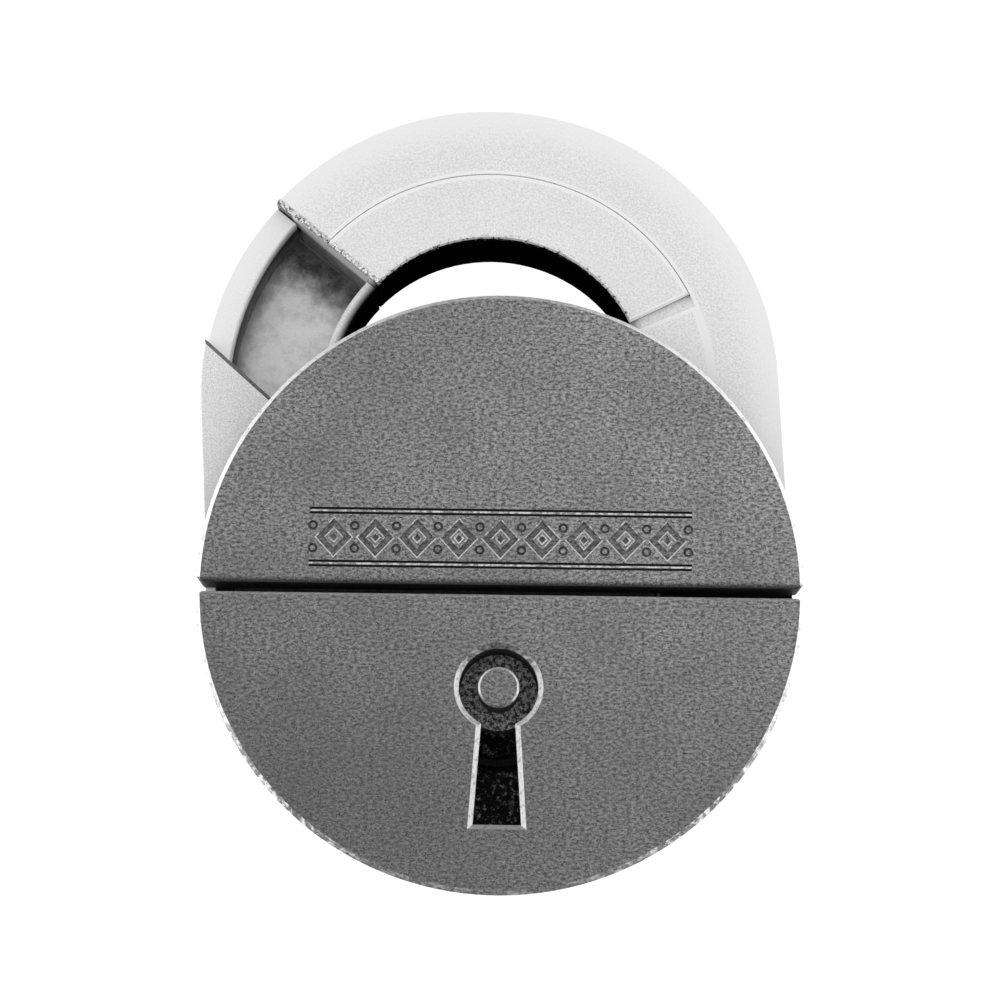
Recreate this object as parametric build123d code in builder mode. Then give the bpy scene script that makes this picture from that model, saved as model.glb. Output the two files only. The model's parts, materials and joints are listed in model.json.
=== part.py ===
from build123d import *
import os
from math import asin, cos, degrees, radians, sin, sqrt, tan

os.makedirs("parts", exist_ok=True)

# A disc padlock lying on its back, in millimetres. The rear face is z = 0, the front faces +Z and the
# arch points along +Y. The origin is the disc's centre.

# Driving dimensions
disc_r = 22.35  # the two dark half discs
thickness = 12.0  # rear face to front face
cover_t = 2.7  # the half discs
rear_t = 1.8  # the rear cover
gap = 0.15  # between a moving part and its neighbours, front and back
room = 0.2  # between the swinging shackle and the case
running = 0.05  # radial clearance of a pin in its bore
seam = 0.7  # between the two half discs
bevel = 0.38  # round the front edge of the disc
draft = 8  # degrees by which the half discs' edge slopes in towards the rear
seam_bevel = 0.2  # along the seam's lower edge
seam_corner = 0.75  # side of the square that cuts the seam's ends
arch_lean = 3.4  # degrees by which the arch leans to the left of the disc
arch_r = 21.7  # outside of the arch and its legs
case_r = 21.0  # the body frame and the rear cover
opening_r = 11.65  # inside of the arch
arch_centre = (0, 15.8)
end_angle = 137.5  # direction of the shackle's end face
end_offset = 0.8  # from the arch's centre to the end face's line
past_end_angle = 141  # a ring sector that reaches past the end face
before_end_angle = 128  # and one that starts before it
step_angle = 19.8  # where the shackle's cover takes over from the slider
slider_start = 23.3  # the slider's other end
ledge_angle = 24.3  # end of the ledge under the slider's thin end
lap_angle = 27.8  # where the slider has its full thickness
ledge_depth = 0.5
step_bevel = 0.15  # on both edges of the step
slider_travel = 44  # degrees, until the slider meets the horn plate
slider_back = 3  # degrees, until it meets the step
band_r = 16.65  # outside of the slider's visible band
channel_in = 12.7
channel_out = 19.7
channel_end = 184  # its end in the horn, under the horn plate
floor_t = 1.2  # channel floor
plate_t = 1.5  # shackle cover and horn plate
swing = 75  # degrees that the shackle opens
key_centre = (0, -7.2)
key_ring_r = 2.9
drill_pin_r = 1.5
slot_bottom = -17.2
slot_half_top = 1.06  # half the slot's width at the drill pin's level
slot_half_bottom = 1.76
keyhole_bevel = 0.36
bolt_travel = 2.2
lever_t = 0.8
belly_radii = (8.2, 8.7, 7.9)  # where the key lifts each lever
soft = 0.12  # edges that are only broken
press = 0.02  # radial clearance of a fixed pin in a blind hole

# Levels
z_rear = rear_t
z_front = thickness - cover_t
z_low = z_rear + gap
z_high = z_front - gap
z_split = z_high - plate_t
z_floor = z_low + floor_t
z_cap = z_front - 1.1
z_curtain = z_cap - 0.95
curtain_t = 0.85
z_bolt = z_rear + 0.2
bolt_t = 1.8
z_levers = z_bolt + bolt_t + 0.2
lever_pitch = lever_t + gap
z_lever_top = z_levers + 3 * lever_pitch - gap

# The arch, its channel and everything in them are drawn on a plane that leans about the disc's centre.
arch = Plane(origin=(0, 0, 0), x_dir=(cos(radians(arch_lean)), sin(radians(arch_lean)), 0), z_dir=(0, 0, 1))
leg_w = arch_r - opening_r
heel_r = leg_w / 2
heel = (arch_r - heel_r, -3.3)  # the shackle's pivot, on the arch's plane
heel_x, heel_y, _ = arch.from_local_coords(Vector(*heel, 0))


def at(radius, angle, centre=(0, 0)):
    """The point at a radius and an angle in degrees about a centre."""
    return (centre[0] + radius * cos(radians(angle)), centre[1] + radius * sin(radians(angle)))


def sector(inner, outer, start, end, mode=Mode.ADD):
    """Draws a ring sector about the arch's centre."""
    with BuildLine() as edge:
        outside = CenterArc(arch_centre, outer, start, end - start)
        inside = CenterArc(arch_centre, inner, start, end - start)
        Line(outside @ 0, inside @ 0)
        Line(outside @ 1, inside @ 1)
    make_face(edge.edges(), mode=mode)


def block(x0, x1, y0, y1, mode=Mode.ADD):
    """Draws a rectangle between two corners."""
    with Locations(((x0 + x1) / 2, (y0 + y1) / 2)):
        Rectangle(x1 - x0, y1 - y0, mode=mode)


def disc(radius, place=(0, 0), mode=Mode.ADD):
    """Draws a circle at a place."""
    with Locations(place):
        Circle(radius, mode=mode)


def past_end(clearance=0, mode=Mode.SUBTRACT):
    """Draws the half plane past the line of the shackle's end face."""
    with Locations(Location((*arch_centre, 0), (0, 0, end_angle))):
        with Locations((0, clearance - end_offset)):
            Rectangle(4 * arch_r, 4 * arch_r, align=(Align.CENTER, Align.MIN), mode=mode)


def shackle_outline():
    """Draws the arch from its end face round to the right leg, with the rounded heel."""
    sector(opening_r, arch_r, 0, past_end_angle)
    past_end()
    block(opening_r, arch_r, heel[1], arch_centre[1])
    disc(heel_r, heel)


def horn_outline():
    """Draws the left leg and its tongue, which reaches the shackle's end face."""
    sector(opening_r, arch_r, before_end_angle, 180)
    past_end(gap, Mode.INTERSECT)
    block(-arch_r, -opening_r, 0, arch_centre[1])


def horn_top(reach=0):
    """Draws the leg's front layer, whose tail runs on under the half disc's edge."""
    sector(opening_r, arch_r + reach, before_end_angle, 180)
    block(-arch_r - reach, -opening_r, horn_low, arch_centre[1])
    block(-arch_r - reach, horn_tail_x, horn_tail_low, horn_low)


def shackle_room():
    """Draws what the shackle passes through while it swings."""
    sector(opening_r - room, arch_r + 2, 0, past_end_angle)
    past_end(gap)
    block(opening_r - room, arch_r + 2, heel[1], arch_centre[1])
    disc(heel_r + room, heel)
    with Locations(Location((heel[0], heel[1], 0), (0, 0, 90 - swing - 1.5))):
        Rectangle(12, 2 * (heel_r + room), align=(Align.MIN, Align.CENTER))


def bolt_notches():
    """Draws the heel's two notches for the bolt, for the shackle shut and open."""
    for angle in (180, 180 + swing):
        with Locations(Location((heel_x, heel_y, 0), (0, 0, angle))):
            with Locations((notch_bottom, 0)):
                Rectangle(4, nose_w + 0.4, align=(Align.MIN, Align.CENTER))


def chamber_outline(radius, top):
    """Draws the lock chamber, a circle cut straight across below the arch's opening."""
    Circle(radius)
    block(-radius, radius, top, radius, mode=Mode.SUBTRACT)


def keyhole(grow=0, mode=Mode.SUBTRACT):
    """Draws the keyhole: a ring for the key's barrel and a flared slot for its bit."""
    disc(key_ring_r + grow, key_centre, mode=mode)
    with Locations((0, 0)):
        Polygon(
            (-slot_half_top - grow, key_centre[1]),
            (slot_half_top + grow, key_centre[1]),
            (slot_half_bottom + grow, slot_bottom - grow),
            (-slot_half_bottom - grow, slot_bottom - grow),
            align=None,
            mode=mode,
        )


def cylinder(x, y, z0, z1, radius, mode=Mode.ADD):
    """Adds an upright cylinder between two levels."""
    with Locations((x, y, z0)):
        Cylinder(radius, z1 - z0, align=(Align.CENTER, Align.CENTER, Align.MIN), mode=mode)


def along_arch(face):
    """The edges of a face's outline that run along the arch's curves and the legs' straight sides."""
    edges = face.outer_wire().edges()
    curves = edges.filter_by(GeomType.CIRCLE).filter_by(lambda e: e.radius > opening_r - 0.1 and e.length > 4)
    sides = edges.filter_by(GeomType.LINE).filter_by(lambda e: abs(e.tangent_at(0.5).dot(arch.y_dir)) > 0.999)
    return curves + sides


def save(builder, name):
    builder.part.label = name
    export_step(builder.part, f"parts/{name}.step")


def arch_front(radius, angle):
    """The point on the arch's front at a radius and an angle about its centre."""
    return arch.from_local_coords(Vector(*at(radius, angle, arch_centre), z_high))


# Places that several pieces share
screw_places = [(-7, 13.5), (7, 13.5), (-13, -12.5), (13, -12.5)]
screw_r = 0.95
screw_head_r = 1.9
screw_head_t = 1.0
screw_top = z_front + 1.7
post_places = [(-8.2, 4.2), (8.3, 4.2)]
post_r = 1.0
lever_place = (-13.0, 3.4)
lever_post_r = 1.1
lever_foot_r = 1.6
heel_pin_r = 1.6
pin_top = z_front + 1.6
heel_bush_r = 2.3
stump = (3.6, lever_place[1])
stump_w = 1.0
stump_h = 1.2
nose_w = 3.1
nose_tip = heel_x - heel_r - 0.3
nose_low = heel_y - nose_w / 2
nose_high = heel_y + nose_w / 2
notch_bottom = 2.9
step_middle_r = (opening_r + band_r) / 2
stud_r = 0.9
stud_head_r = 1.9
stud_rear = 0.4  # the head's rear face
stud_depth = 2.0  # into the slider
stud_angle = 80
stud_path_r = (channel_in + channel_out) / 2
stud_x, stud_y = at(stud_path_r, stud_angle, arch_centre)
chamber_r = 19.0
chamber_top = 7.0
cap_ledge = 0.6
horn_low = 9.2
horn_tail_x = -19.9
horn_tail_low = 5.5
horn_edge = -0.5  # the height at which the line of its slanted edge passes the disc's centre
horn_bevel = 0.3
horn_rivet_places = [(-13.2, 10.9), (-17.2, 10.9)]
horn_rivet_r = 0.8
rim_r = (channel_out + arch_r) / 2
shackle_rivet_places = [at(rim_r, a, arch_centre) for a in (122, 85, 48)] + [(13.6, 9.5), (19.6, 9.5)]
shackle_rivet_r = 0.55
curtain_r = 10.8
shank_r = 1.3  # the drill pin behind its guide land
z_sleeve = z_front - 0.1
sleeve_r = 2.82
sleeve_t = 0.65
sleeve_wall = 0.3
sleeve_top = z_sleeve - sleeve_t
sleeve_low = sleeve_top - 1.2
sleeve_wire_r = 0.14
band_y = 3.78
band_half_w = 14.05
band_half_h = 1.97
rule_w = 0.18
rule_pitch = 0.34
engraving = 0.25
lozenge_bevel = 0.1
lozenge_pitch = 3.06
lozenge_half_w = 1.3
lozenge_half_h = 1.4
lozenge_steps = ((1, Mode.ADD), (0.56, Mode.SUBTRACT), (0.2, Mode.ADD))  # recess, ridge, recess
bead_r = 0.36
bead_rise = 0.85
lozenge_places = [lozenge_pitch * i for i in range(-4, 5)]
bead_places = [lozenge_pitch * (i + 0.5) for i in range(-5, 5)]

# Front half discs. The heel pin and the screws end in blind holes, so that nothing shows in front.
cover_rear_r = disc_r - cover_t * tan(radians(draft))
for name, side in (("lower_front_cover", -1), ("upper_front_cover", 1)):
    with BuildPart() as cover:
        with Locations((0, 0, z_front)):
            Cone(cover_rear_r, disc_r, cover_t, align=(Align.CENTER, Align.CENTER, Align.MIN))
        chamfer(cover.faces().sort_by(Axis.Z)[-1].edges(), bevel)
        with BuildSketch(Plane.XY.offset(z_front)):
            block(-disc_r, disc_r, -side * disc_r, side * seam / 2)
        extrude(amount=cover_t, mode=Mode.SUBTRACT)
        if side < 0:
            top = cover.faces().sort_by(Axis.Z)[-1]
            chamfer(top.edges().filter_by(GeomType.LINE), seam_bevel)
        with BuildSketch(Plane.XY.offset(z_front)):
            for x in (-disc_r, disc_r):
                with Locations((x, side * seam / 2)):
                    Rectangle(seam_corner, seam_corner, rotation=45)
            if side < 0:
                keyhole(mode=Mode.ADD)
        extrude(amount=cover_t, mode=Mode.SUBTRACT)
        if side < 0:
            top = cover.faces().sort_by(Axis.Z)[-1]
            for wire in top.inner_wires():
                chamfer(wire.edges(), keyhole_bevel)
            cylinder(heel_x, heel_y, z_front, pin_top + 0.1, heel_pin_r + press, mode=Mode.SUBTRACT)
        for x, y in screw_places:
            if y * side > 0:
                cylinder(x, y, z_front, screw_top + 0.1, screw_r + press, mode=Mode.SUBTRACT)
        if side > 0:
            # The band: two pairs of ruled lines with a row of lozenges and beads between them.
            with BuildSketch(Plane.XY.offset(thickness)):
                for y in (band_y - band_half_h, band_y + band_half_h):
                    for middle in (y - rule_pitch / 2, y + rule_pitch / 2):
                        block(-band_half_w, band_half_w, middle - rule_w / 2, middle + rule_w / 2)
                for x in lozenge_places:
                    for shrink, mode in lozenge_steps:
                        with Locations((x, band_y)):
                            half_w = lozenge_half_w * shrink
                            half_h = lozenge_half_h * shrink
                            Polygon((-half_w, 0), (0, -half_h), (half_w, 0), (0, half_h), mode=mode)
                for x in bead_places:
                    for y in (band_y - bead_rise, band_y + bead_rise):
                        disc(bead_r, (x, y))
                        disc(bead_r / 2, (x, y), mode=Mode.SUBTRACT)
            extrude(amount=-engraving, mode=Mode.SUBTRACT)
            rims = cover.edges().filter_by(GeomType.LINE).filter_by(
                lambda e: abs(e.center().Z - thickness) < 0.01 and abs(e.center().X) < band_half_w
            )
            chamfer(rims.filter_by(lambda e: 0.1 < abs(e.tangent_at(0.5).Y) < 0.9), lozenge_bevel)
    save(cover, name)

# Rear cover, with countersinks for the screws and holes for the posts, which are peened over flush
with BuildPart() as rear_cover:
    with BuildSketch(Plane.XY):
        Circle(case_r)
    extrude(amount=rear_t)
    chamfer(rear_cover.faces().sort_by(Axis.Z)[0].edges(), 0.5)
    for x, y in screw_places:
        with Locations((x, y, 0)):
            Cone(
                screw_head_r + 0.05,
                screw_r + 0.05,
                screw_head_t + 0.05,
                align=(Align.CENTER, Align.CENTER, Align.MIN),
                mode=Mode.SUBTRACT,
            )
        cylinder(x, y, 0, rear_t, screw_r + 0.05, mode=Mode.SUBTRACT)
    cylinder(heel_x, heel_y, 0, rear_t, heel_pin_r, mode=Mode.SUBTRACT)
    cylinder(*lever_place, 0, rear_t, lever_foot_r, mode=Mode.SUBTRACT)
    cylinder(*key_centre, 0, rear_t, shank_r, mode=Mode.SUBTRACT)
    for x, y in post_places:
        cylinder(x, y, rear_t - 1.0, rear_t, post_r, mode=Mode.SUBTRACT)
save(rear_cover, "rear_cover")

# Body frame: the case's ring, the block under the arch's opening, and the left leg with its channel
with BuildPart() as body_frame:
    with BuildSketch(Plane.XY.offset(z_rear)):
        Circle(case_r)
    extrude(amount=z_front - z_rear)
    with BuildSketch(arch.offset(z_low)):
        horn_outline()
    extrude(amount=z_high - z_low)
    with BuildSketch(arch.offset(z_rear)):
        shackle_room()
    extrude(amount=z_front - z_rear, mode=Mode.SUBTRACT)
    with BuildSketch(Plane.XY.offset(z_rear)):
        chamber_outline(chamber_r, chamber_top)
        for x, y in screw_places[2:]:
            disc(2.2, (x, y), mode=Mode.SUBTRACT)
    extrude(amount=z_cap - z_rear, mode=Mode.SUBTRACT)
    with BuildSketch(Plane.XY.offset(z_cap)):
        chamber_outline(chamber_r + cap_ledge, chamber_top + cap_ledge)
    extrude(amount=z_front - z_cap, mode=Mode.SUBTRACT)
    with BuildSketch(arch.offset(z_split)):
        horn_top(1)
    extrude(amount=z_front - z_split, mode=Mode.SUBTRACT)
    with BuildSketch(arch.offset(z_floor)):
        sector(channel_in, channel_out, before_end_angle, channel_end)
    extrude(amount=z_split - z_floor, mode=Mode.SUBTRACT)
    for x, y in screw_places:
        cylinder(x, y, z_rear, z_front, screw_r + 0.05, mode=Mode.SUBTRACT)
    with Locations(arch.offset(z_floor)):
        with Locations(*[(x, y, 0) for x, y in horn_rivet_places]):
            Cylinder(
                horn_rivet_r,
                z_split - z_floor,
                align=(Align.CENTER, Align.CENTER, Align.MIN),
                mode=Mode.SUBTRACT,
            )
    horn_centre = arch.from_local_coords(Vector(*arch_centre, z_split))
    for radius in (arch_r, channel_out, channel_in, opening_r):
        rim = body_frame.edges().filter_by(GeomType.CIRCLE).filter_by(
            lambda e: abs(e.radius - radius) < 0.01 and (e.arc_center - horn_centre).length < 0.01
        )
        chamfer(rim.sort_by(SortBy.LENGTH)[-1], soft)
save(body_frame, "body_frame")

# Horn plate: the left leg's front layer. Its upper edge slants at 45 degrees to the arch.
with BuildPart() as horn_plate:
    with BuildSketch(arch.offset(z_split)):
        horn_top()
        Polygon((0, horn_edge), (-40, horn_edge + 40), (-40, -40), align=None, mode=Mode.INTERSECT)
        for place in horn_rivet_places:
            disc(horn_rivet_r, place, mode=Mode.SUBTRACT)
    extrude(amount=plate_t)
    rim = horn_plate.faces().sort_by(Axis.Z)[-1].outer_wire().edges().filter_by(GeomType.LINE)
    chamfer(rim.filter_by(lambda e: 0.5 < abs(e.tangent_at(0.5).dot(arch.x_dir)) < 0.9), horn_bevel)
    chamfer(along_arch(horn_plate.faces().sort_by(Axis.Z)[-1]), soft)
save(horn_plate, "horn_plate")

# Horn rivets, ground flush with the horn plate
with BuildPart() as horn_rivets:
    with BuildSketch(arch.offset(z_floor)):
        for place in horn_rivet_places:
            disc(horn_rivet_r, place)
    extrude(amount=z_high - z_floor)
save(horn_rivets, "horn_rivets")

# Case screws, put in from behind, with a straight slot
with BuildPart() as case_screws:
    for x, y in screw_places:
        with Locations((x, y, 0.05)):
            Cone(screw_head_r, screw_r, screw_head_t, align=(Align.CENTER, Align.CENTER, Align.MIN))
        cylinder(x, y, 0.05, screw_top, screw_r)
        with Locations((x, y, 0.05)):
            Box(4, 0.5, 0.9, mode=Mode.SUBTRACT)
save(case_screws, "case_screws")

# Inner cap, which closes the lock chamber under the two half discs
with BuildPart() as inner_cap:
    with BuildSketch(Plane.XY.offset(z_cap)):
        chamber_outline(chamber_r + cap_ledge - 0.05, chamber_top + cap_ledge - 0.05)
        keyhole()
        for x, y in screw_places[2:]:
            disc(screw_r + 0.05, (x, y), mode=Mode.SUBTRACT)
    extrude(amount=z_front - z_cap)
    with BuildSketch(arch.offset(z_cap)):
        shackle_room()
    extrude(amount=z_front - z_cap, mode=Mode.SUBTRACT)
save(inner_cap, "inner_cap")

# Curtain retainer: a ring with a lip, under the cap
with BuildPart() as curtain_retainer:
    with BuildSketch(Plane.XY.offset(z_curtain - 0.3)):
        disc(curtain_r + 0.7, key_centre)
        disc(curtain_r - 0.4, key_centre, mode=Mode.SUBTRACT)
    extrude(amount=z_cap - z_curtain + 0.3)
    with BuildSketch(Plane.XY.offset(z_curtain - 0.1)):
        disc(curtain_r + 0.1, key_centre)
    extrude(amount=z_cap - z_curtain + 0.1, mode=Mode.SUBTRACT)
save(curtain_retainer, "curtain_retainer")

# Keyhole curtain: the slotted disc that turns with the key
with BuildPart() as keyhole_curtain:
    with BuildSketch(Plane.XY.offset(z_curtain)):
        disc(curtain_r, key_centre)
        keyhole(0.05)
        block(-slot_half_bottom, slot_half_bottom, slot_bottom - 2, slot_bottom, mode=Mode.SUBTRACT)
    extrude(amount=curtain_t)
save(keyhole_curtain, "keyhole_curtain")

# Drill pin, level with the front. Its land guides the key's barrel and keeps the dust sleeve on the shank.
with BuildPart() as drill_pin:
    cylinder(*key_centre, 0, z_front - 0.05, shank_r)
    cylinder(*key_centre, z_front - 0.05, thickness, drill_pin_r)
    chamfer(drill_pin.faces().sort_by(Axis.Z)[-1].edges(), 0.15)
save(drill_pin, "drill_pin")

# Dust sleeve, a sprung cap round the drill pin that closes the keyhole's ring until the barrel pushes it in
with BuildPart() as dust_sleeve:
    cylinder(*key_centre, sleeve_low, z_sleeve, sleeve_r)
    cylinder(*key_centre, sleeve_low, sleeve_top, sleeve_r - sleeve_wall, mode=Mode.SUBTRACT)
    cylinder(*key_centre, sleeve_top, z_sleeve, shank_r + running, mode=Mode.SUBTRACT)
save(dust_sleeve, "dust_sleeve")

# Sleeve spring, a coil of four turns between the rear cover and the dust sleeve
with BuildPart() as sleeve_spring:
    coil_low = z_rear + sleeve_wire_r + 0.02
    coil_high = sleeve_top - sleeve_wire_r - 0.02
    with BuildLine(Plane(origin=(*key_centre, coil_low))) as coil:
        Helix(pitch=(coil_high - coil_low) / 4, height=coil_high - coil_low, radius=2.1)
    with BuildSketch(Plane(origin=coil.line @ 0, z_dir=coil.line % 0)):
        Circle(sleeve_wire_r)
    sweep(path=coil.line)
save(sleeve_spring, "sleeve_spring")

# Ring ward on the rear cover, which the cut in the key's bit passes
with BuildPart() as ring_ward:
    with BuildSketch(Plane.XY.offset(z_rear)):
        disc(4.8, key_centre)
        disc(4.0, key_centre, mode=Mode.SUBTRACT)
    extrude(amount=1.2)
    chamfer(ring_ward.faces().sort_by(Axis.Z)[-1].edges(), 0.15)
save(ring_ward, "ring_ward")

# Bolt: a bar with a talon for the key's bit, two guide slots, and a nose for the shackle's heel
bar_low = 1.0
bar_high = 6.0
bar_left = -11.0
bar_right = 8.8
talon_left = -4.6
talon_right = 2.4
talon_top = 2.4
sweep_r = 9.6  # what the key's bit clears
arm_left = sqrt(sweep_r**2 - (bar_low - key_centre[1]) ** 2)
with BuildPart() as bolt:
    with BuildSketch(Plane.XY.offset(z_bolt)):
        block(arm_left, bar_right, nose_low, bar_low)
        block(bar_right, nose_tip, nose_low, nose_high)
        disc(sweep_r, key_centre, mode=Mode.SUBTRACT)
        block(bar_left, bar_right, bar_low, bar_high)
        block(talon_left, talon_right, bar_low, talon_top, mode=Mode.SUBTRACT)
        for x, y in post_places:
            with Locations((x - bolt_travel / 2, y)):
                SlotCenterToCenter(bolt_travel + 0.2, 2 * (post_r + 0.06), mode=Mode.SUBTRACT)
        with Locations(stump):
            Rectangle(stump_w, stump_h, mode=Mode.SUBTRACT)
    extrude(amount=bolt_t)
    with BuildSketch(Plane.XY.offset(z_bolt)):
        block(nose_tip - 1.3, nose_tip, nose_low, nose_high)
    extrude(amount=z_curtain - 0.45 - z_bolt)
save(bolt, "bolt")

# Bolt stump, the square peg that passes through the levers' gates
with BuildPart() as bolt_stump:
    with BuildSketch(Plane.XY.offset(z_bolt)):
        with Locations(stump):
            Rectangle(stump_w, stump_h)
    extrude(amount=z_lever_top - z_bolt)
save(bolt_stump, "bolt_stump")

# Bolt posts, which guide the bolt's two slots
with BuildPart() as bolt_posts:
    for x, y in post_places:
        cylinder(x, y, z_rear - 1.0, z_bolt + bolt_t + 0.05, post_r)
save(bolt_posts, "bolt_posts")

# Lever post, stepped, with its foot peened into the rear cover
with BuildPart() as lever_post:
    cylinder(*lever_place, 0, z_levers - 0.05, lever_foot_r)
    cylinder(*lever_place, 0, z_curtain, lever_post_r)
save(lever_post, "lever_post")

# Levers, drawn at the height to which the key lifts them. Each has two pockets for the stump, joined by
# a gate, and a belly that the key lifts.
lever_top = 5.6
pocket_top = stump[1] + stump_h / 2 + 1.3
gate_low = stump[1] - stump_h / 2 - 0.12
gate_high = stump[1] + stump_h / 2 + 0.12
pocket_half = stump_w / 2 + 0.15
lever_right = stump[0] + bolt_travel + pocket_half + 1.0
for number, belly_r in enumerate(belly_radii):
    level = z_levers + number * lever_pitch
    with BuildPart() as lever:
        with BuildSketch(Plane.XY.offset(level)):
            disc(2.2, lever_place)
            Polygon(
                (lever_place[0], lever_top),
                (1.8, lever_top),
                (2.4, pocket_top + 0.9),
                (lever_right, pocket_top + 0.9),
                (lever_right, 0.8),
                (6.2, -0.6),
                (-7.5, -0.6),
                (lever_place[0], lever_place[1] - 2.2),
                align=None,
            )
            disc(lever_post_r + running, lever_place, mode=Mode.SUBTRACT)
            disc(belly_r, key_centre, mode=Mode.SUBTRACT)
            for x in (stump[0], stump[0] + bolt_travel):
                block(x - pocket_half, x + pocket_half, gate_low, pocket_top, mode=Mode.SUBTRACT)
            block(stump[0], stump[0] + bolt_travel, gate_low, gate_high, mode=Mode.SUBTRACT)
        extrude(amount=lever_t)
    save(lever, f"lever_{number + 1}")

# Spring block on the chamber's upper wall, and one leaf spring for each lever
spring_left = -10.0
spring_root = -6.0
with BuildPart() as spring_block:
    with BuildSketch(Plane.XY.offset(z_levers)):
        block(spring_left, spring_root, lever_top + 0.5, chamber_top)
    extrude(amount=z_lever_top - z_levers)
save(spring_block, "spring_block")

with BuildPart() as lever_springs:
    for number in range(3):
        with BuildSketch(Plane.XY.offset(z_levers + number * lever_pitch + 0.05)):
            with BuildLine() as leaf:
                ThreePointArc((spring_root, 6.5), (-2.2, 6.35), (1.5, lever_top + 0.14))
            trace(leaf.edges(), 0.2)
        extrude(amount=lever_t - 0.1)
save(lever_springs, "lever_springs")

# Shackle base: the arch and right leg with the slider's channel, the heel and its two bolt notches
with BuildPart() as shackle_base:
    with BuildSketch(arch.offset(z_low)):
        shackle_outline()
    extrude(amount=z_split - z_low)
    with BuildSketch(arch.offset(z_floor)):
        sector(channel_in, channel_out, step_angle, past_end_angle)
    extrude(amount=z_split - z_floor, mode=Mode.SUBTRACT)
    with BuildSketch(arch.offset(z_low)):
        slot_from = stud_angle - slider_back - 0.5
        slot_to = stud_angle + slider_travel + 0.5
        sector(stud_path_r - stud_r - gap, stud_path_r + stud_r + gap, slot_from, slot_to)
        for angle in (slot_from, slot_to):
            disc(stud_r + gap, at(stud_path_r, angle, arch_centre))
    extrude(amount=floor_t, mode=Mode.SUBTRACT)
    with BuildSketch(arch.offset(z_low)):
        for place in shackle_rivet_places:
            disc(shackle_rivet_r, place)
        disc(heel_bush_r, heel)
    extrude(amount=z_split - z_low, mode=Mode.SUBTRACT)
    with BuildSketch(Plane.XY.offset(z_low)):
        bolt_notches()
    extrude(amount=z_split - z_low, mode=Mode.SUBTRACT)
    chamfer(along_arch(shackle_base.faces().sort_by(Axis.Z)[0]), 0.3)
save(shackle_base, "shackle_base")

# Shackle cover: the outer band and the right leg's front layer
with BuildPart() as shackle_cover:
    with BuildSketch(arch.offset(z_split)):
        shackle_outline()
        sector(opening_r - 1, band_r + running, ledge_angle, past_end_angle, mode=Mode.SUBTRACT)
        disc(heel_bush_r, heel, mode=Mode.SUBTRACT)
    extrude(amount=plate_t)
    with BuildSketch(arch.offset(z_high)):
        sector(opening_r - 1, band_r + running, step_angle, ledge_angle)
    extrude(amount=-ledge_depth, mode=Mode.SUBTRACT)
    with BuildSketch(Plane.XY.offset(z_split)):
        bolt_notches()
    extrude(amount=plate_t, mode=Mode.SUBTRACT)
    with BuildSketch(arch.offset(z_split)):
        for place in shackle_rivet_places:
            disc(shackle_rivet_r, place)
    extrude(amount=plate_t - 0.6, mode=Mode.SUBTRACT)
    end_middle_r = (band_r + arch_r) / 2
    end_middle = arch_front(end_middle_r, end_angle - degrees(asin(end_offset / end_middle_r)))
    top = shackle_cover.faces().sort_by(Axis.Z)[-1]
    chamfer(top.edges().sort_by_distance(end_middle)[0], bevel)
    top = shackle_cover.faces().sort_by(Axis.Z)[-1]
    chamfer(top.edges().sort_by_distance(arch_front(step_middle_r, step_angle))[0], step_bevel)
    top = shackle_cover.faces().sort_by(Axis.Z)[-1]
    outer_rim = along_arch(top).filter_by(lambda e: e.geom_type != GeomType.CIRCLE or e.radius > channel_out)
    chamfer(outer_rim, soft)
save(shackle_cover, "shackle_cover")

# Shackle rivets, which hold the cover on the base and stop short of the front
with BuildPart() as shackle_rivets:
    with BuildSketch(arch.offset(z_low)):
        for place in shackle_rivet_places:
            disc(shackle_rivet_r, place)
    extrude(amount=z_high - 0.6 - z_low)
save(shackle_rivets, "shackle_rivets")

# Slider: a flange that runs in the channel, under the shackle's cover, and the band that shows in front.
# The band's thin end laps over the cover's ledge.
spring_angle = 45
spring_half = 4.0
spring_w = 1.6
z_slider = z_floor + 0.1
with BuildPart() as slider:
    with BuildSketch(arch.offset(z_slider)):
        sector(channel_in + 0.1, channel_out - 0.1, lap_angle, past_end_angle)
        past_end()
    extrude(amount=z_split - 0.1 - z_slider)
    with BuildSketch(arch.offset(z_split - 0.1)):
        sector(channel_in + 0.1, band_r - 0.1, lap_angle, past_end_angle)
        past_end()
    extrude(amount=0.2)
    with BuildSketch(arch.offset(z_split + 0.1)):
        sector(opening_r, band_r, lap_angle, past_end_angle)
        past_end()
    extrude(amount=plate_t - 0.1)
    with BuildSketch(arch.offset(z_high)):
        sector(opening_r, band_r, slider_start, lap_angle)
    extrude(amount=0.1 - ledge_depth)
    with BuildSketch(arch.offset(z_slider)):
        disc(stud_r, (stud_x, stud_y))
        with Locations(Location((*at(stud_path_r, spring_angle, arch_centre), 0), (0, 0, spring_angle + 90))):
            Rectangle(2 * spring_half + 1, spring_w + 0.6)
    extrude(amount=0.9, mode=Mode.SUBTRACT)
    with BuildSketch(arch.offset(z_slider)):
        disc(stud_r, (stud_x, stud_y))
    extrude(amount=stud_depth, mode=Mode.SUBTRACT)
    top = slider.faces().sort_by(Axis.Z)[-1]
    chamfer(top.edges().sort_by_distance(arch_front(step_middle_r, slider_start))[0], step_bevel)
    chamfer(along_arch(slider.faces().sort_by(Axis.Z)[-1]), soft)
save(slider, "slider")

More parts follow.
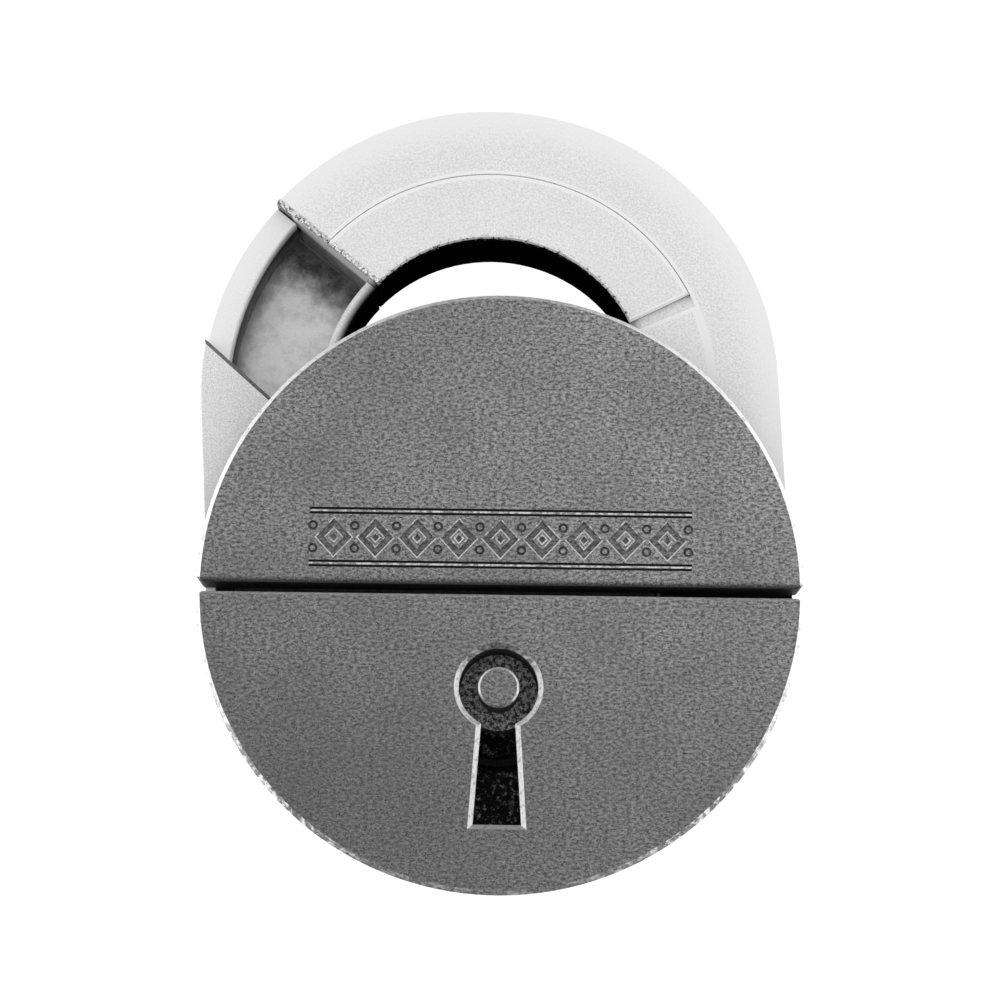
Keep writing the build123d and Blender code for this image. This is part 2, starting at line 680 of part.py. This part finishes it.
# Slider stud, whose knurled head behind the arch moves the slider
with BuildPart() as slider_stud:
    with BuildSketch(arch.offset(z_low - gap)):
        disc(stud_r, (stud_x, stud_y))
    extrude(amount=z_slider + stud_depth - (z_low - gap))
    with BuildSketch(arch.offset(stud_rear)):
        disc(stud_head_r, (stud_x, stud_y))
        with Locations(*[at(stud_head_r, angle, (stud_x, stud_y)) for angle in range(0, 360, 20)]):
            Circle(0.12, mode=Mode.SUBTRACT)
    extrude(amount=z_low - gap - stud_rear)
save(slider_stud, "slider_stud")

# Slider spring: a bowed strip in the slider's underside that rubs on the channel's floor
spring_x, spring_y = at(stud_path_r, spring_angle, arch_centre)
along = arch.from_local_coords(Vector(*at(1, spring_angle + 90), 0))
middle = arch.from_local_coords(Vector(spring_x, spring_y, 0))
with BuildPart() as slider_spring:
    strip = Plane(origin=middle, x_dir=along, z_dir=along.cross(Vector(0, 0, 1)))
    with BuildSketch(strip):
        with BuildLine() as bow:
            ThreePointArc(
                (-spring_half, z_floor + 0.14),
                (0, z_floor + 0.86),
                (spring_half, z_floor + 0.14),
            )
        trace(bow.edges(), 0.2)
    extrude(amount=spring_w / 2, both=True)
save(slider_spring, "slider_spring")

# Heel pin, on which the shackle swings, from the rear cover into the lower half disc
with BuildPart() as heel_pin:
    cylinder(heel_x, heel_y, 0, pin_top, heel_pin_r)
save(heel_pin, "heel_pin")

# Heel bush, pressed into the shackle's heel
with BuildPart() as heel_bush:
    cylinder(heel_x, heel_y, z_low, z_high, heel_bush_r)
    cylinder(heel_x, heel_y, z_low, z_high, heel_pin_r + running, mode=Mode.SUBTRACT)
save(heel_bush, "heel_bush")
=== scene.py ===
import json
import math

import bpy
from mathutils import Matrix, Vector


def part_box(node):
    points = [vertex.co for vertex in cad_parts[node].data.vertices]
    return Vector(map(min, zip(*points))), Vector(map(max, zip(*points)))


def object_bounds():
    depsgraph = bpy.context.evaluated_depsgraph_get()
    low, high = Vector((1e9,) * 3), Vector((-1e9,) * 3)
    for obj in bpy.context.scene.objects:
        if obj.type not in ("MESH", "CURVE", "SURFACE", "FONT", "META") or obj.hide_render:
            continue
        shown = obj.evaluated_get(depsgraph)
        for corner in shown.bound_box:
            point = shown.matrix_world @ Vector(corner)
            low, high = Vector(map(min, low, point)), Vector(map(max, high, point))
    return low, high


# The looks of the disc padlock: procedural materials for every piece, the floor, the light and the camera.
# Everything is in metres, in the CAD frame: the padlock lies on its back, the front faces +Z, the arch
# points along +Y. Inside the materials, lengths are in millimetres.

MM = 0.001

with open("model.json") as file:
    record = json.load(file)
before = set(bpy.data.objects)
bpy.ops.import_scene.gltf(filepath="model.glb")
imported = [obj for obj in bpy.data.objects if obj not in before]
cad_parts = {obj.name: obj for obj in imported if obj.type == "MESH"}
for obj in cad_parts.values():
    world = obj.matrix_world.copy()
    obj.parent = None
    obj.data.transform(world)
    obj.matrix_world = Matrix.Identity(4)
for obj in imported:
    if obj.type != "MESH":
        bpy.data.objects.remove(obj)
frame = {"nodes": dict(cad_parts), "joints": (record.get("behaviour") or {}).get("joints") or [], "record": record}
cad_low, cad_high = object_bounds()
record = frame["record"]
joints = {darkened_slant["name"]: darkened_slant for darkened_slant in frame["joints"]}

# Places that the materials and the camera share, in millimetres
arch_x, arch_y, _ = (value / MM for value in joints["slider_turn"]["pos_m"])
heel_x, heel_y, _ = (value / MM for value in joints["shackle_swing"]["pos_m"])
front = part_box("upper_front_cover")[1].z / MM
layer_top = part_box("shackle_cover")[1].z / MM
layer_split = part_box("shackle_cover")[0].z / MM
arch_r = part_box("shackle_cover")[1].y / MM - arch_y
opening_r = 11.65  # of the arch's opening
channel_out = 19.7  # outer wall of the channel
end_direction = math.radians(140.9)  # of the shackle's end face
end_offset = 0.8  # from the arch's centre to the end face's line
seam_half = 0.35  # half the gap between the half discs
band_y = 3.78  # middle of the ornament band
rule_end = 14.0  # the ruled lines run this far to either side
rule_from_band = 1.97  # each pair of ruled lines, from the band's middle
band_r = 16.65  # outside of the slider's band
slider_end = 26.7  # degrees about the arch's centre, where the slider's band ends
step_end = 23.2  # and where the cover's step rises again
horn_edge_direction = math.radians(48.4)  # square to the horn plate's slanted edge
horn_edge_offset = -0.35
left_leg_x = -10.0  # to the left of this lies only the left leg
right_leg_x = 8.5  # to the right of this, past the opening, only the right leg
heel_r = 5.75


class Surface:
    """A material whose node tree is built step by step, in millimetres of the piece's own rest place."""

    def __init__(self, name, roughness, metallic, specular=0.5):
        self.material = bpy.data.materials.new(name)
        self.material.use_nodes = True
        self.tree = self.material.node_tree
        self.shader = self.tree.nodes["Principled BSDF"]
        self.shader.inputs["Roughness"].default_value = roughness
        self.shader.inputs["Metallic"].default_value = metallic
        self.shader.inputs["Specular IOR Level"].default_value = specular
        coordinates = self.add("ShaderNodeTexCoord")
        scaled = self.add("ShaderNodeVectorMath", operation="SCALE")
        scaled.inputs["Scale"].default_value = 1 / MM
        self.link(coordinates.outputs["Object"], scaled.inputs[0])
        self.place = scaled.outputs["Vector"]
        self.x, self.y, self.z = self.split(self.place)
        self.facing = self.split(coordinates.outputs["Normal"])

    def add(self, kind, **settings):
        node = self.tree.nodes.new(kind)
        for name, value in settings.items():
            setattr(node, name, value)
        return node

    def link(self, source, socket):
        self.tree.links.new(source, socket)

    def feed(self, socket, value):
        """Links a socket's source, or sets its value when that is a plain number or colour."""
        if isinstance(value, bpy.types.NodeSocket):
            self.link(value, socket)
        else:
            socket.default_value = value

    def split(self, vector):
        node = self.add("ShaderNodeSeparateXYZ")
        self.link(vector, node.inputs[0])
        return node.outputs[0], node.outputs[1], node.outputs[2]

    def math(self, operation, *values):
        node = self.add("ShaderNodeMath", operation=operation)
        for socket, value in zip(node.inputs, values):
            self.feed(socket, value)
        return node.outputs[0]

    def between(self, value, low, high, start=0.0, end=1.0):
        """Runs smoothly from start to end as the value goes from low to high."""
        node = self.add("ShaderNodeMapRange", interpolation_type="SMOOTHSTEP")
        for socket, given in zip(node.inputs, (value, low, high, start, end)):
            self.feed(socket, given)
        return node.outputs[0]

    def shifted(self, offset, stretch=(1, 1, 1)):
        node = self.add("ShaderNodeMapping")
        node.inputs["Location"].default_value = (offset, 1.7 * offset, 2.3 * offset)
        node.inputs["Scale"].default_value = stretch
        self.link(self.place, node.inputs["Vector"])
        return node.outputs[0]

    def noise(self, per_mm, detail=3.0, roughness=0.5, offset=0.0, stretch=(1, 1, 1)):
        node = self.add("ShaderNodeTexNoise")
        self.link(self.shifted(offset, stretch), node.inputs["Vector"])
        node.inputs["Scale"].default_value = per_mm
        node.inputs["Detail"].default_value = detail
        node.inputs["Roughness"].default_value = roughness
        return node.outputs[0]

    def pits(self, per_mm, offset=0.0):
        """Distance to the nearest of many scattered points, for shot marks and pores."""
        node = self.add("ShaderNodeTexVoronoi", feature="F1")
        self.link(self.shifted(offset), node.inputs["Vector"])
        node.inputs["Scale"].default_value = per_mm
        return node.outputs["Distance"]

    def mix(self, amount, first, second):
        """The first colour where the amount is 0, the second where it is 1."""
        node = self.add("ShaderNodeMix", data_type="RGBA", blend_type="MIX", clamp_factor=True)
        self.feed(node.inputs["Factor"], amount)
        self.feed(node.inputs[6], first)
        self.feed(node.inputs[7], second)
        return node.outputs[2]

    def radius_from(self, x, y):
        """Distance in plan from an upright axis."""
        across = self.math("SUBTRACT", self.x, x)
        along = self.math("SUBTRACT", self.y, y)
        squares = self.math("ADD", self.math("POWER", across, 2), self.math("POWER", along, 2))
        return self.math("SQRT", squares)

    def sloping(self):
        """1 on the chamfers in front and behind, 0 on flat faces and upright walls."""
        steep = self.math("ABSOLUTE", self.facing[2])
        return self.math("MULTIPLY", self.between(steep, 0.2, 0.5), self.between(steep, 0.97, 0.88))

    def upright(self):
        """1 on walls that stand square to the front."""
        return self.between(self.math("ABSOLUTE", self.facing[2]), 0.5, 0.2)

    def level(self):
        """1 on flat faces that look to the front."""
        return self.between(self.facing[2], 0.93, 0.98)

    def sideways(self):
        """1 where a surface turns to the left or right, 0 where it turns up or down the picture."""
        return self.between(self.math("ABSOLUTE", self.facing[0]), 0.12, 0.5)

    def times(self, *values):
        """The product of several masks."""
        product = values[0]
        for value in values[1:]:
            product = self.math("MULTIPLY", product, value)
        return product

    def along(self, direction, x=0.0, y=0.0):
        """Distance in plan from a point, along a direction in radians."""
        across = self.math("MULTIPLY", self.math("SUBTRACT", self.x, x), math.cos(direction))
        up = self.math("MULTIPLY", self.math("SUBTRACT", self.y, y), math.sin(direction))
        return self.math("ADD", across, up)

    def strip(self, value, low, high, soft=0.03):
        """1 between two values, with soft borders."""
        above_low = self.between(value, low - soft, low + soft)
        below_high = self.between(value, high + soft, high - soft)
        return self.math("MULTIPLY", above_low, below_high)

    def past_end_face(self):
        """Distance past the line of the shackle's end face, towards the horn."""
        return self.math("ADD", self.along(end_direction + math.pi / 2, arch_x, arch_y), end_offset)

    def near_edge(self, reach):
        """1 on an edge's very corner, falling to 0 at about this distance from it."""
        rounded = self.add("ShaderNodeBevel", samples=4)
        rounded.inputs["Radius"].default_value = reach * MM
        geometry = self.add("ShaderNodeNewGeometry")
        turn = self.add("ShaderNodeVectorMath", operation="DOT_PRODUCT")
        self.link(rounded.outputs[0], turn.inputs[0])
        self.link(geometry.outputs["Normal"], turn.inputs[1])
        return self.between(turn.outputs["Value"], 0.995, 0.86)

    def bump(self, height, depth, strength=1.0, onto=None):
        """Raises the surface by this height pattern, depth in millimetres."""
        node = self.add("ShaderNodeBump")
        node.inputs["Strength"].default_value = strength
        node.inputs["Distance"].default_value = depth * MM
        self.link(height, node.inputs["Height"])
        if onto:
            self.link(onto, node.inputs["Normal"])
        return node.outputs[0]

    def finish(self, color, roughness=None, normal=None):
        self.link(color, self.shader.inputs["Base Color"])
        if roughness:
            self.link(roughness, self.shader.inputs["Roughness"])
        if normal:
            self.link(normal, self.shader.inputs["Normal"])
        return self.material


def grey(level, warmth=0.0):
    return (level * (1 + warmth), level, level * (1 - warmth), 1)


def dark_cast():
    """Sand-blasted dark metal with bright worn bevels that also carry a painted highlight, and painted shade that
    makes the seam black and the engraving dark.
    """
    s = Surface("dark_cast", roughness=0.55, metallic=0.75, specular=0.3)
    grain = s.noise(5.0, detail=4, roughness=0.75, stretch=(0.6, 1, 1))
    fine = s.noise(10.0, detail=3, roughness=0.6, offset=11, stretch=(0.7, 1, 1))
    patches = s.noise(0.16, detail=4, roughness=0.6, offset=5)
    pores = s.pits(3.2, offset=3)
    breaks = s.noise(1.6, detail=4, roughness=0.65, offset=21)
    chips = s.noise(3.0, detail=4, offset=31)
    # Painted light: the face's colour grows lighter towards the top and towards the right.
    lit_toward_top_right = s.math("ADD", s.between(s.y, -19.0, 10.0, 0, 0.64), s.between(s.x, -14.0, 18.0, 0, 0.36))
    color = s.mix(s.between(grain, 0.34, 0.67), grey(0.08), s.mix(lit_toward_top_right, grey(0.28), grey(0.60)))
    color = s.mix(s.between(fine, 0.56, 0.72, 0, 0.7), color, s.mix(lit_toward_top_right, grey(0.48), grey(0.80)))
    color = s.mix(s.between(fine, 0.44, 0.30, 0, 0.7), color, grey(0.03))
    color = s.mix(s.between(patches, 0.3, 0.75, 0, 0.3), color, grey(0.12))
    color = s.mix(s.between(pores, 0.22, 0.10, 0, 0.8), color, grey(0.02))
    # The bevels are worn bright, and their white also stands in for a painted highlight: brightest where they face
    # the sides, duller above, and only in patches below.
    below = s.between(s.facing[1], -0.15, -0.5)
    share = s.math("ADD", 0.34, s.math("MULTIPLY", s.sideways(), 0.66))
    patchy = s.math("SUBTRACT", 1.0, s.times(below, s.between(breaks, 0.62, 0.46), 0.9))
    wear_and_highlight = s.times(s.sloping(), share, patchy, s.between(chips, 0.30, 0.50, 0.5, 1))
    edge = s.times(s.near_edge(0.12), s.between(chips, 0.45, 0.7, 0, 0.8), s.math("ADD", 0.3, s.sideways()))
    worn_and_highlit = s.math("MAXIMUM", wear_and_highlight, edge)
    color = s.mix(worn_and_highlit, color, grey(1.0))
    # The engraving: painted shade makes the ruled lines black and the ornament's floors darker and duller, with a
    # bright broken ridge between the lines.
    from_band = s.math("ABSOLUTE", s.math("SUBTRACT", s.y, band_y))
    engraved = s.times(s.between(s.z, front - 0.08, front - 0.16), s.between(s.z, front - 0.5, front - 0.35))
    sunk = s.math("MULTIPLY", s.level(), engraved)
    ruled = s.between(from_band, rule_from_band - 0.45, rule_from_band - 0.4)
    color = s.mix(s.times(sunk, s.math("ADD", 0.35, s.math("MULTIPLY", ruled, 0.65))), color, grey(0.012))
    ridge = s.between(s.math("ABSOLUTE", s.math("SUBTRACT", from_band, rule_from_band)), 0.075, 0.045)
    beside = s.between(s.math("ABSOLUTE", s.x), rule_end + 0.05, rule_end)
    in_band = s.times(ridge, s.level(), s.between(s.z, front - 0.05, front - 0.02), beside)
    color = s.mix(s.times(in_band, s.between(chips, 0.42, 0.6, 0.1, 0.9)), color, grey(0.85))
    # Painted shade: the seam's walls and the ragged lip of the upper half are painted black.
    lip = s.math("SUBTRACT", s.y, s.between(fine, 0.35, 0.7, 0.0, 0.3))
    lip = s.times(s.between(lip, seam_half + 0.35, seam_half - 0.05), s.between(s.y, 0.05, 0.1))
    lip = s.math("MULTIPLY", lip, s.between(s.z, front - 4.0, front - 3.0))
    color = s.mix(s.math("MULTIPLY", lip, 0.95), color, grey(0.008))
    # Painted shade: down inside the keyhole the rear cover is painted black with bright specks, and upright walls
    # are painted dark.
    inside = s.between(s.z, front - 3.5, front - 4.5)
    speck = s.between(s.noise(2.6, detail=5, roughness=0.8, offset=61), 0.52, 0.66)
    color = s.mix(s.times(inside, s.level()), color, s.mix(speck, grey(0.03), grey(1.0)))
    wall = s.math("MULTIPLY", s.upright(), 0.85)
    color = s.mix(wall, color, grey(0.02))
    dull = s.math("MAXIMUM", s.math("MAXIMUM", wall, lip), sunk)
    s.feed(s.shader.inputs["Metallic"], s.between(dull, 0.2, 0.8, 0.75, 0.0))
    roughness = s.between(s.math("ADD", grain, s.math("MULTIPLY", worn_and_highlit, -0.5)), 0.0, 0.8, 0.36, 0.66)
    height = s.math("ADD", grain, s.math("MULTIPLY", fine, 0.45))
    normal = s.bump(height, 0.07, 1.0)
    normal = s.bump(s.between(pores, 0.0, 0.2), 0.03, 0.6, onto=normal)
    return s.finish(color, roughness, normal)


def pale_cast():
    """Pale satin alloy: bright in front with painted highlights, painted-shade black in the arch's opening, cloudy
    grey with painted shade down in the channel.
    """
    s = Surface("pale_cast", roughness=0.5, metallic=0.45, specular=0.0)
    grain = s.noise(6.0, detail=4, roughness=0.7)
    fine = s.noise(12.0, detail=2, offset=9)
    clouds = s.noise(0.22, detail=4, roughness=0.55, offset=17)
    stains = s.noise(0.8, detail=6, roughness=0.7, offset=23)
    specks = s.noise(3.2, detail=5, roughness=0.75, offset=41)
    from_arch = s.radius_from(arch_x, arch_y)
    past = s.past_end_face()
    color = s.mix(s.between(grain, 0.38, 0.62), grey(0.80), grey(1.0))
    color = s.mix(s.between(clouds, 0.35, 0.75, 0, 0.15), color, grey(0.78))
    color = s.mix(s.between(fine, 0.56, 0.70, 0, 0.4), color, grey(0.45))
    color = s.mix(s.between(fine, 0.44, 0.32, 0, 0.6), color, grey(1.0))
    # Painted highlight: the colour lightens to white towards the arch's outer edge.
    color = s.mix(s.between(from_arch, arch_r - 3.5, arch_r - 0.4, 0, 0.85), color, grey(1.0))
    # The horn plate is duller than the rest, up to its slanted edge.
    from_edge = s.along(horn_edge_direction)
    left_leg = s.between(s.x, left_leg_x + 1, left_leg_x - 1)
    horn = s.times(left_leg, s.between(s.z, layer_split - 0.1, layer_split), s.between(s.y, 0.0, 1.0))
    horn = s.math("MULTIPLY", horn, s.between(from_edge, horn_edge_offset + 0.1, horn_edge_offset))
    color = s.mix(s.math("MULTIPLY", horn, s.between(fine, 0.35, 0.62, 0.0, 0.5)), color, grey(0.5))
    # Painted highlights: white strips along the ring line and the step's edges, where those edges catch the light.
    right = s.between(s.x, right_leg_x - 0.5, right_leg_x + 0.5)
    right = s.math("MULTIPLY", right, s.between(s.z, layer_top - 0.7, layer_top - 0.6))
    right = s.times(right, s.between(from_arch, band_r + 0.15, band_r + 0.05))
    from_slider_end = s.along(math.radians(slider_end + 90), arch_x, arch_y)
    from_step = s.along(math.radians(step_end + 90), arch_x, arch_y)
    bright = s.math("MAXIMUM", s.strip(from_slider_end, 0.0, 0.3), s.strip(from_step, -0.32, 0.0))
    bright = s.math("MULTIPLY", bright, right)
    ring_line = s.times(s.strip(from_arch, band_r - 0.35, band_r + 0.3), s.between(past, 0.0, -0.3))
    bright = s.math("MAXIMUM", bright, ring_line)
    color = s.mix(bright, color, grey(1.0))
    # Painted shadow: a dark strip on the wall under the slider's end.
    under = s.times(right, s.upright(), s.strip(from_slider_end, -0.1, 0.1))
    color = s.mix(s.math("MULTIPLY", under, 0.85), color, grey(0.12))
    # Painted shade: the channel's floor is darkened under the shackle's end face and along its outer wall, and
    # light further on.
    inside = s.between(from_arch, channel_out + 0.6, channel_out + 0.3)
    deep = s.times(s.between(s.z, layer_split - 0.6, layer_split - 1.6), inside)
    dark = s.mix(s.between(stains, 0.32, 0.68), grey(0.05), grey(0.17))
    light = s.mix(s.between(stains, 0.30, 0.62), grey(0.80), grey(1.0))
    ragged = s.math("MULTIPLY", s.math("SUBTRACT", stains, 0.5), 2.4)
    lit = s.between(s.math("ADD", past, ragged), 0.8, 4.4)
    from_wall = s.math("SUBTRACT", channel_out, from_arch)
    off_wall = s.math("ADD", from_wall, s.math("MULTIPLY", ragged, 0.4))
    lit = s.math("MULTIPLY", lit, s.between(off_wall, 0.0, 1.3, 0.35, 1))
    floor = s.mix(lit, dark, light)
    floor = s.mix(s.between(fine, 0.40, 0.65, 0, 0.14), floor, grey(0.30))
    color = s.mix(s.math("MULTIPLY", deep, s.level()), color, floor)
    # Painted shade: the channel's walls are dark grey, the outer wall black towards its top.
    outer = s.between(from_arch, channel_out - 0.4, channel_out - 0.2)
    low = s.mix(s.between(stains, 0.35, 0.65), grey(0.10), grey(0.30))
    high = s.between(s.math("ADD", s.z, ragged), layer_split - 4.0, layer_split - 1.2)
    wall = s.mix(s.times(outer, high), low, grey(0.015))
    color = s.mix(s.times(deep, s.upright(), s.between(outer, 0, 1, 0.8, 0.96)), color, wall)
    # The outer sides keep the duller cast skin.
    outside = s.times(s.upright(), s.math("SUBTRACT", 1.0, inside))
    skin = s.mix(s.between(grain, 0.3, 0.7), grey(0.24), grey(0.40))
    skin = s.mix(s.between(clouds, 0.35, 0.75, 0, 0.3), skin, grey(0.22))
    color = s.mix(outside, color, skin)
    # Painted shade: the opening's wall is painted black, with a broken front edge.
    near = s.between(from_arch, opening_r + 0.9, opening_r + 0.15)
    chipped = s.times(s.between(s.z, layer_top - 1.1, layer_top - 0.1), s.between(specks, 0.56, 0.64))
    opening_shade = s.times(near, s.upright(), s.math("SUBTRACT", 1.0, chipped))
    broken = s.times(s.between(from_arch, opening_r + 0.5, opening_r), s.between(s.facing[2], 0.5, 0.7))
    broken = s.math("MULTIPLY", broken, s.between(specks, 0.46, 0.40))
    ledge = s.times(near, s.between(s.z, layer_top - 0.4, layer_top - 0.6))
    opening_shade = s.math("MAXIMUM", s.math("MAXIMUM", opening_shade, broken), ledge)
    color = s.mix(opening_shade, color, grey(0.002))
    shown = s.math("SUBTRACT", 1.0, s.math("MAXIMUM", opening_shade, s.between(s.z, layer_top - 0.5, layer_top - 0.9)))
    edge = s.times(s.near_edge(0.10), s.between(stains, 0.35, 0.6, 0.3, 1), shown)
    color = s.mix(edge, color, grey(1.0))
    # Saw marks at the shackle's end; the horn plate's slanted edge is darkened.
    marks = s.noise(4.5, detail=4, roughness=0.8, offset=71)
    at_end = s.between(s.math("ABSOLUTE", past), 0.48, 0.2)
    at_end = s.math("MULTIPLY", at_end, s.between(s.z, layer_top - 0.6, layer_top - 0.4))
    color = s.mix(s.times(at_end, s.between(marks, 0.51, 0.44), 0.95), color, grey(0.06))
    color = s.mix(s.times(at_end, s.between(marks, 0.52, 0.58)), color, grey(1.0))
    darkened_slant = s.times(s.sloping(), s.between(s.math("ADD", s.facing[0], s.facing[1]), 0.5, 0.8), left_leg)
    color = s.mix(s.times(darkened_slant, s.between(grain, 0.3, 0.6, 0.97, 0.8)), color, grey(0.07))
    # Painted shade: what the half discs cover is painted black where it shows through the seam.
    covered = s.between(s.z, layer_top + 0.03, layer_top + 0.08)
    heel = s.between(s.radius_from(heel_x, heel_y), heel_r + 0.15, heel_r - 0.15)
    covered = s.math("MAXIMUM", covered, s.math("MULTIPLY", s.level(), heel))
    color = s.mix(covered, color, grey(0.012))
    dull = s.math("MAXIMUM", s.math("MAXIMUM", opening_shade, covered), darkened_slant)
    s.feed(s.shader.inputs["Metallic"], s.between(s.math("MAXIMUM", dull, bright), 0.2, 0.8, 0.45, 0.0))
    roughness = s.math("MAXIMUM", s.between(grain, 0.2, 0.8, 0.40, 0.60), s.math("MULTIPLY", dull, 0.95))
    height = s.math("ADD", grain, s.math("MULTIPLY", fine, 0.35))
    return s.finish(color, roughness, s.bump(height, 0.03, 0.6))


def turned_metal(name, level, warmth=0.0, roughness=0.32, scratch=0.5):
    """Turned or rolled metal with fine lines, faint stains and bright corners."""
    s = Surface(name, roughness=roughness, metallic=0.95)
    lengthwise = s.noise(6.0, detail=3, roughness=0.6, stretch=(1, 1, 0.08), offset=3)
    stains = s.noise(0.9, detail=5, roughness=0.65, offset=13)
    fine = s.noise(8.0, detail=3, offset=29)
    color = s.mix(s.between(lengthwise, 0.3, 0.7), grey(0.72 * level, warmth), grey(1.18 * level, warmth))
    color = s.mix(s.between(stains, 0.5, 0.8, 0, 0.5), color, grey(0.4 * level, warmth))
    edge = s.math("MULTIPLY", s.near_edge(0.08), s.between(fine, 0.35, 0.6, 0.3, 1))
    color = s.mix(edge, color, grey(min(1.0, 1.6 * level + 0.1), 0.6 * warmth))
    dirt = s.math("ADD", stains, s.math("MULTIPLY", fine, 0.5))
    rough = s.between(dirt, 0.4, 1.1, roughness, roughness + 0.2)
    height = s.math("ADD", s.math("MULTIPLY", lengthwise, scratch), s.math("MULTIPLY", fine, 0.4))
    return s.finish(color, rough, s.bump(height, 0.015, 0.5))


def mottled_plate(name, low, high, roughness=0.6):
    """Dull dark plate, mottled at the scale of its pores."""
    s = Surface(name, roughness=roughness, metallic=0.5)
    mottle = s.noise(3.2, detail=5, roughness=0.8, offset=7)
    fine = s.noise(8.0, detail=3, offset=19)
    color = s.mix(s.between(mottle, 0.45, 0.58), grey(low), grey(high))
    color = s.mix(s.between(fine, 0.62, 0.74, 0, 0.7), color, grey(min(1.0, 2.2 * high)))
    edge = s.math("MULTIPLY", s.near_edge(0.08), s.between(fine, 0.4, 0.65, 0, 0.8))
    color = s.mix(edge, color, grey(min(1.0, 3.0 * high)))
    rough = s.between(mottle, 0.3, 0.7, roughness - 0.12, roughness + 0.12)
    return s.finish(color, rough, s.bump(s.math("ADD", mottle, fine), 0.03, 0.7))


def pale_floor():
    """A plain pale sheet, faintly lit from below as on a light table."""
    s = Surface("pale_floor", roughness=0.9, metallic=0.0, specular=0.1)
    paper = s.noise(0.35, detail=3, offset=2)
    color = s.mix(s.between(paper, 0.3, 0.7), grey(0.27), grey(0.29))
    s.shader.inputs["Emission Color"].default_value = (1, 1, 1, 1)
    s.shader.inputs["Emission Strength"].default_value = 0.93
    return s.finish(color)


materials = {
    "dark_cast": dark_cast(),
    "pale_cast": pale_cast(),
    "pin_steel": turned_metal("pin_steel", 0.42),
    "screw_steel": turned_metal("screw_steel", 0.16, roughness=0.4),
    "black_plate": mottled_plate("black_plate", 0.008, 0.03, roughness=0.55),
    "sleeve_steel": mottled_plate("sleeve_steel", 0.003, 0.46),
    "spring_steel": turned_metal("spring_steel", 0.5, warmth=-0.03, roughness=0.25, scratch=0.3),
    "lock_brass": turned_metal("lock_brass", 0.5, warmth=0.32, roughness=0.3, scratch=0.8),
    "curtain_steel": mottled_plate("curtain_steel", 0.02, 0.08),
}
slots = {subpart["node"]: subpart["material_slot"] for subpart in record["subparts"]}
for name, slot in slots.items():
    node = frame["nodes"][name]
    node.data.materials.clear()
    node.data.materials.append(materials[slot])


def make_floor(size, gap):
    """A square floor, this gap under the padlock."""
    half = size / 2
    mesh = bpy.data.meshes.new("floor")
    corners = [(-half, -half, 0), (half, -half, 0), (half, half, 0), (-half, half, 0)]
    mesh.from_pydata(corners, [], [(0, 1, 2, 3)])
    mesh.materials.append(pale_floor())
    floor = bpy.data.objects.new("floor", mesh)
    floor.location.z = cad_low.z - gap
    bpy.context.scene.collection.objects.link(floor)


def softbox(name, azimuth, elevation, distance, size, power):
    """An area light that shines on the padlock from an azimuth and an elevation in degrees."""
    around = math.radians(azimuth)
    above = math.radians(elevation)
    level_reach = math.cos(above)
    towards = Vector((math.cos(around) * level_reach, math.sin(around) * level_reach, math.sin(above)))
    light = bpy.data.lights.new(name, "AREA")
    light.shape = "RECTANGLE"
    light.size, light.size_y = size
    light.energy = power
    lamp = bpy.data.objects.new(name, light)
    lamp.location = middle + towards * distance
    lamp.rotation_euler = towards.to_track_quat("Z", "Y").to_euler()
    bpy.context.scene.collection.objects.link(lamp)


def make_world(bright, dim):
    """An even pale studio that is dimmer on the keyhole's side, towards -Y."""
    world = bpy.data.worlds.new("studio")
    world.use_nodes = True
    tree = world.node_tree
    direction = tree.nodes.new("ShaderNodeTexCoord")
    split = tree.nodes.new("ShaderNodeSeparateXYZ")
    fade = tree.nodes.new("ShaderNodeMapRange")
    fade.interpolation_type = "SMOOTHSTEP"
    for name, value in (("From Min", -0.85), ("From Max", -0.15), ("To Min", dim), ("To Max", bright)):
        fade.inputs[name].default_value = value
    tree.links.new(direction.outputs["Generated"], split.inputs[0])
    tree.links.new(split.outputs["Y"], fade.inputs["Value"])
    background = tree.nodes["Background"]
    background.inputs["Color"].default_value = (1, 1, 1, 1)
    tree.links.new(fade.outputs[0], background.inputs["Strength"])
    bpy.context.scene.world = world


def make_camera(elevation, distance, roll, lens, aim):
    """Looks down from the keyhole's side at the padlock's front, aimed this far from its middle."""
    above = math.radians(elevation)
    back = Vector((0, -math.cos(above), math.sin(above)))
    camera = bpy.data.objects.new("camera", bpy.data.cameras.new("camera"))
    camera.data.lens = lens
    camera.data.clip_start = 0.01
    camera.data.clip_end = 10
    target = Vector((aim[0], middle.y + aim[1], front * MM))
    turn = back.to_track_quat("Z", "Y").to_matrix().to_4x4() @ Matrix.Rotation(math.radians(roll), 4, "Z")
    camera.matrix_world = Matrix.Translation(target + back * distance) @ turn
    bpy.context.scene.collection.objects.link(camera)
    bpy.context.scene.camera = camera


middle = (cad_low + cad_high) / 2
make_floor(size=3.0, gap=0.02 * MM)
make_world(bright=0.86, dim=0.12)
for name, azimuth in (("left_softbox", 180), ("right_softbox", 0)):
    softbox(name, azimuth, elevation=20, distance=0.45, size=(0.30, 0.22), power=0.42)
make_camera(elevation=78.5, distance=0.265, roll=0.76, lens=129.8, aim=(-0.08 * MM, -0.9 * MM))
bpy.context.scene.view_settings.view_transform = "Standard"
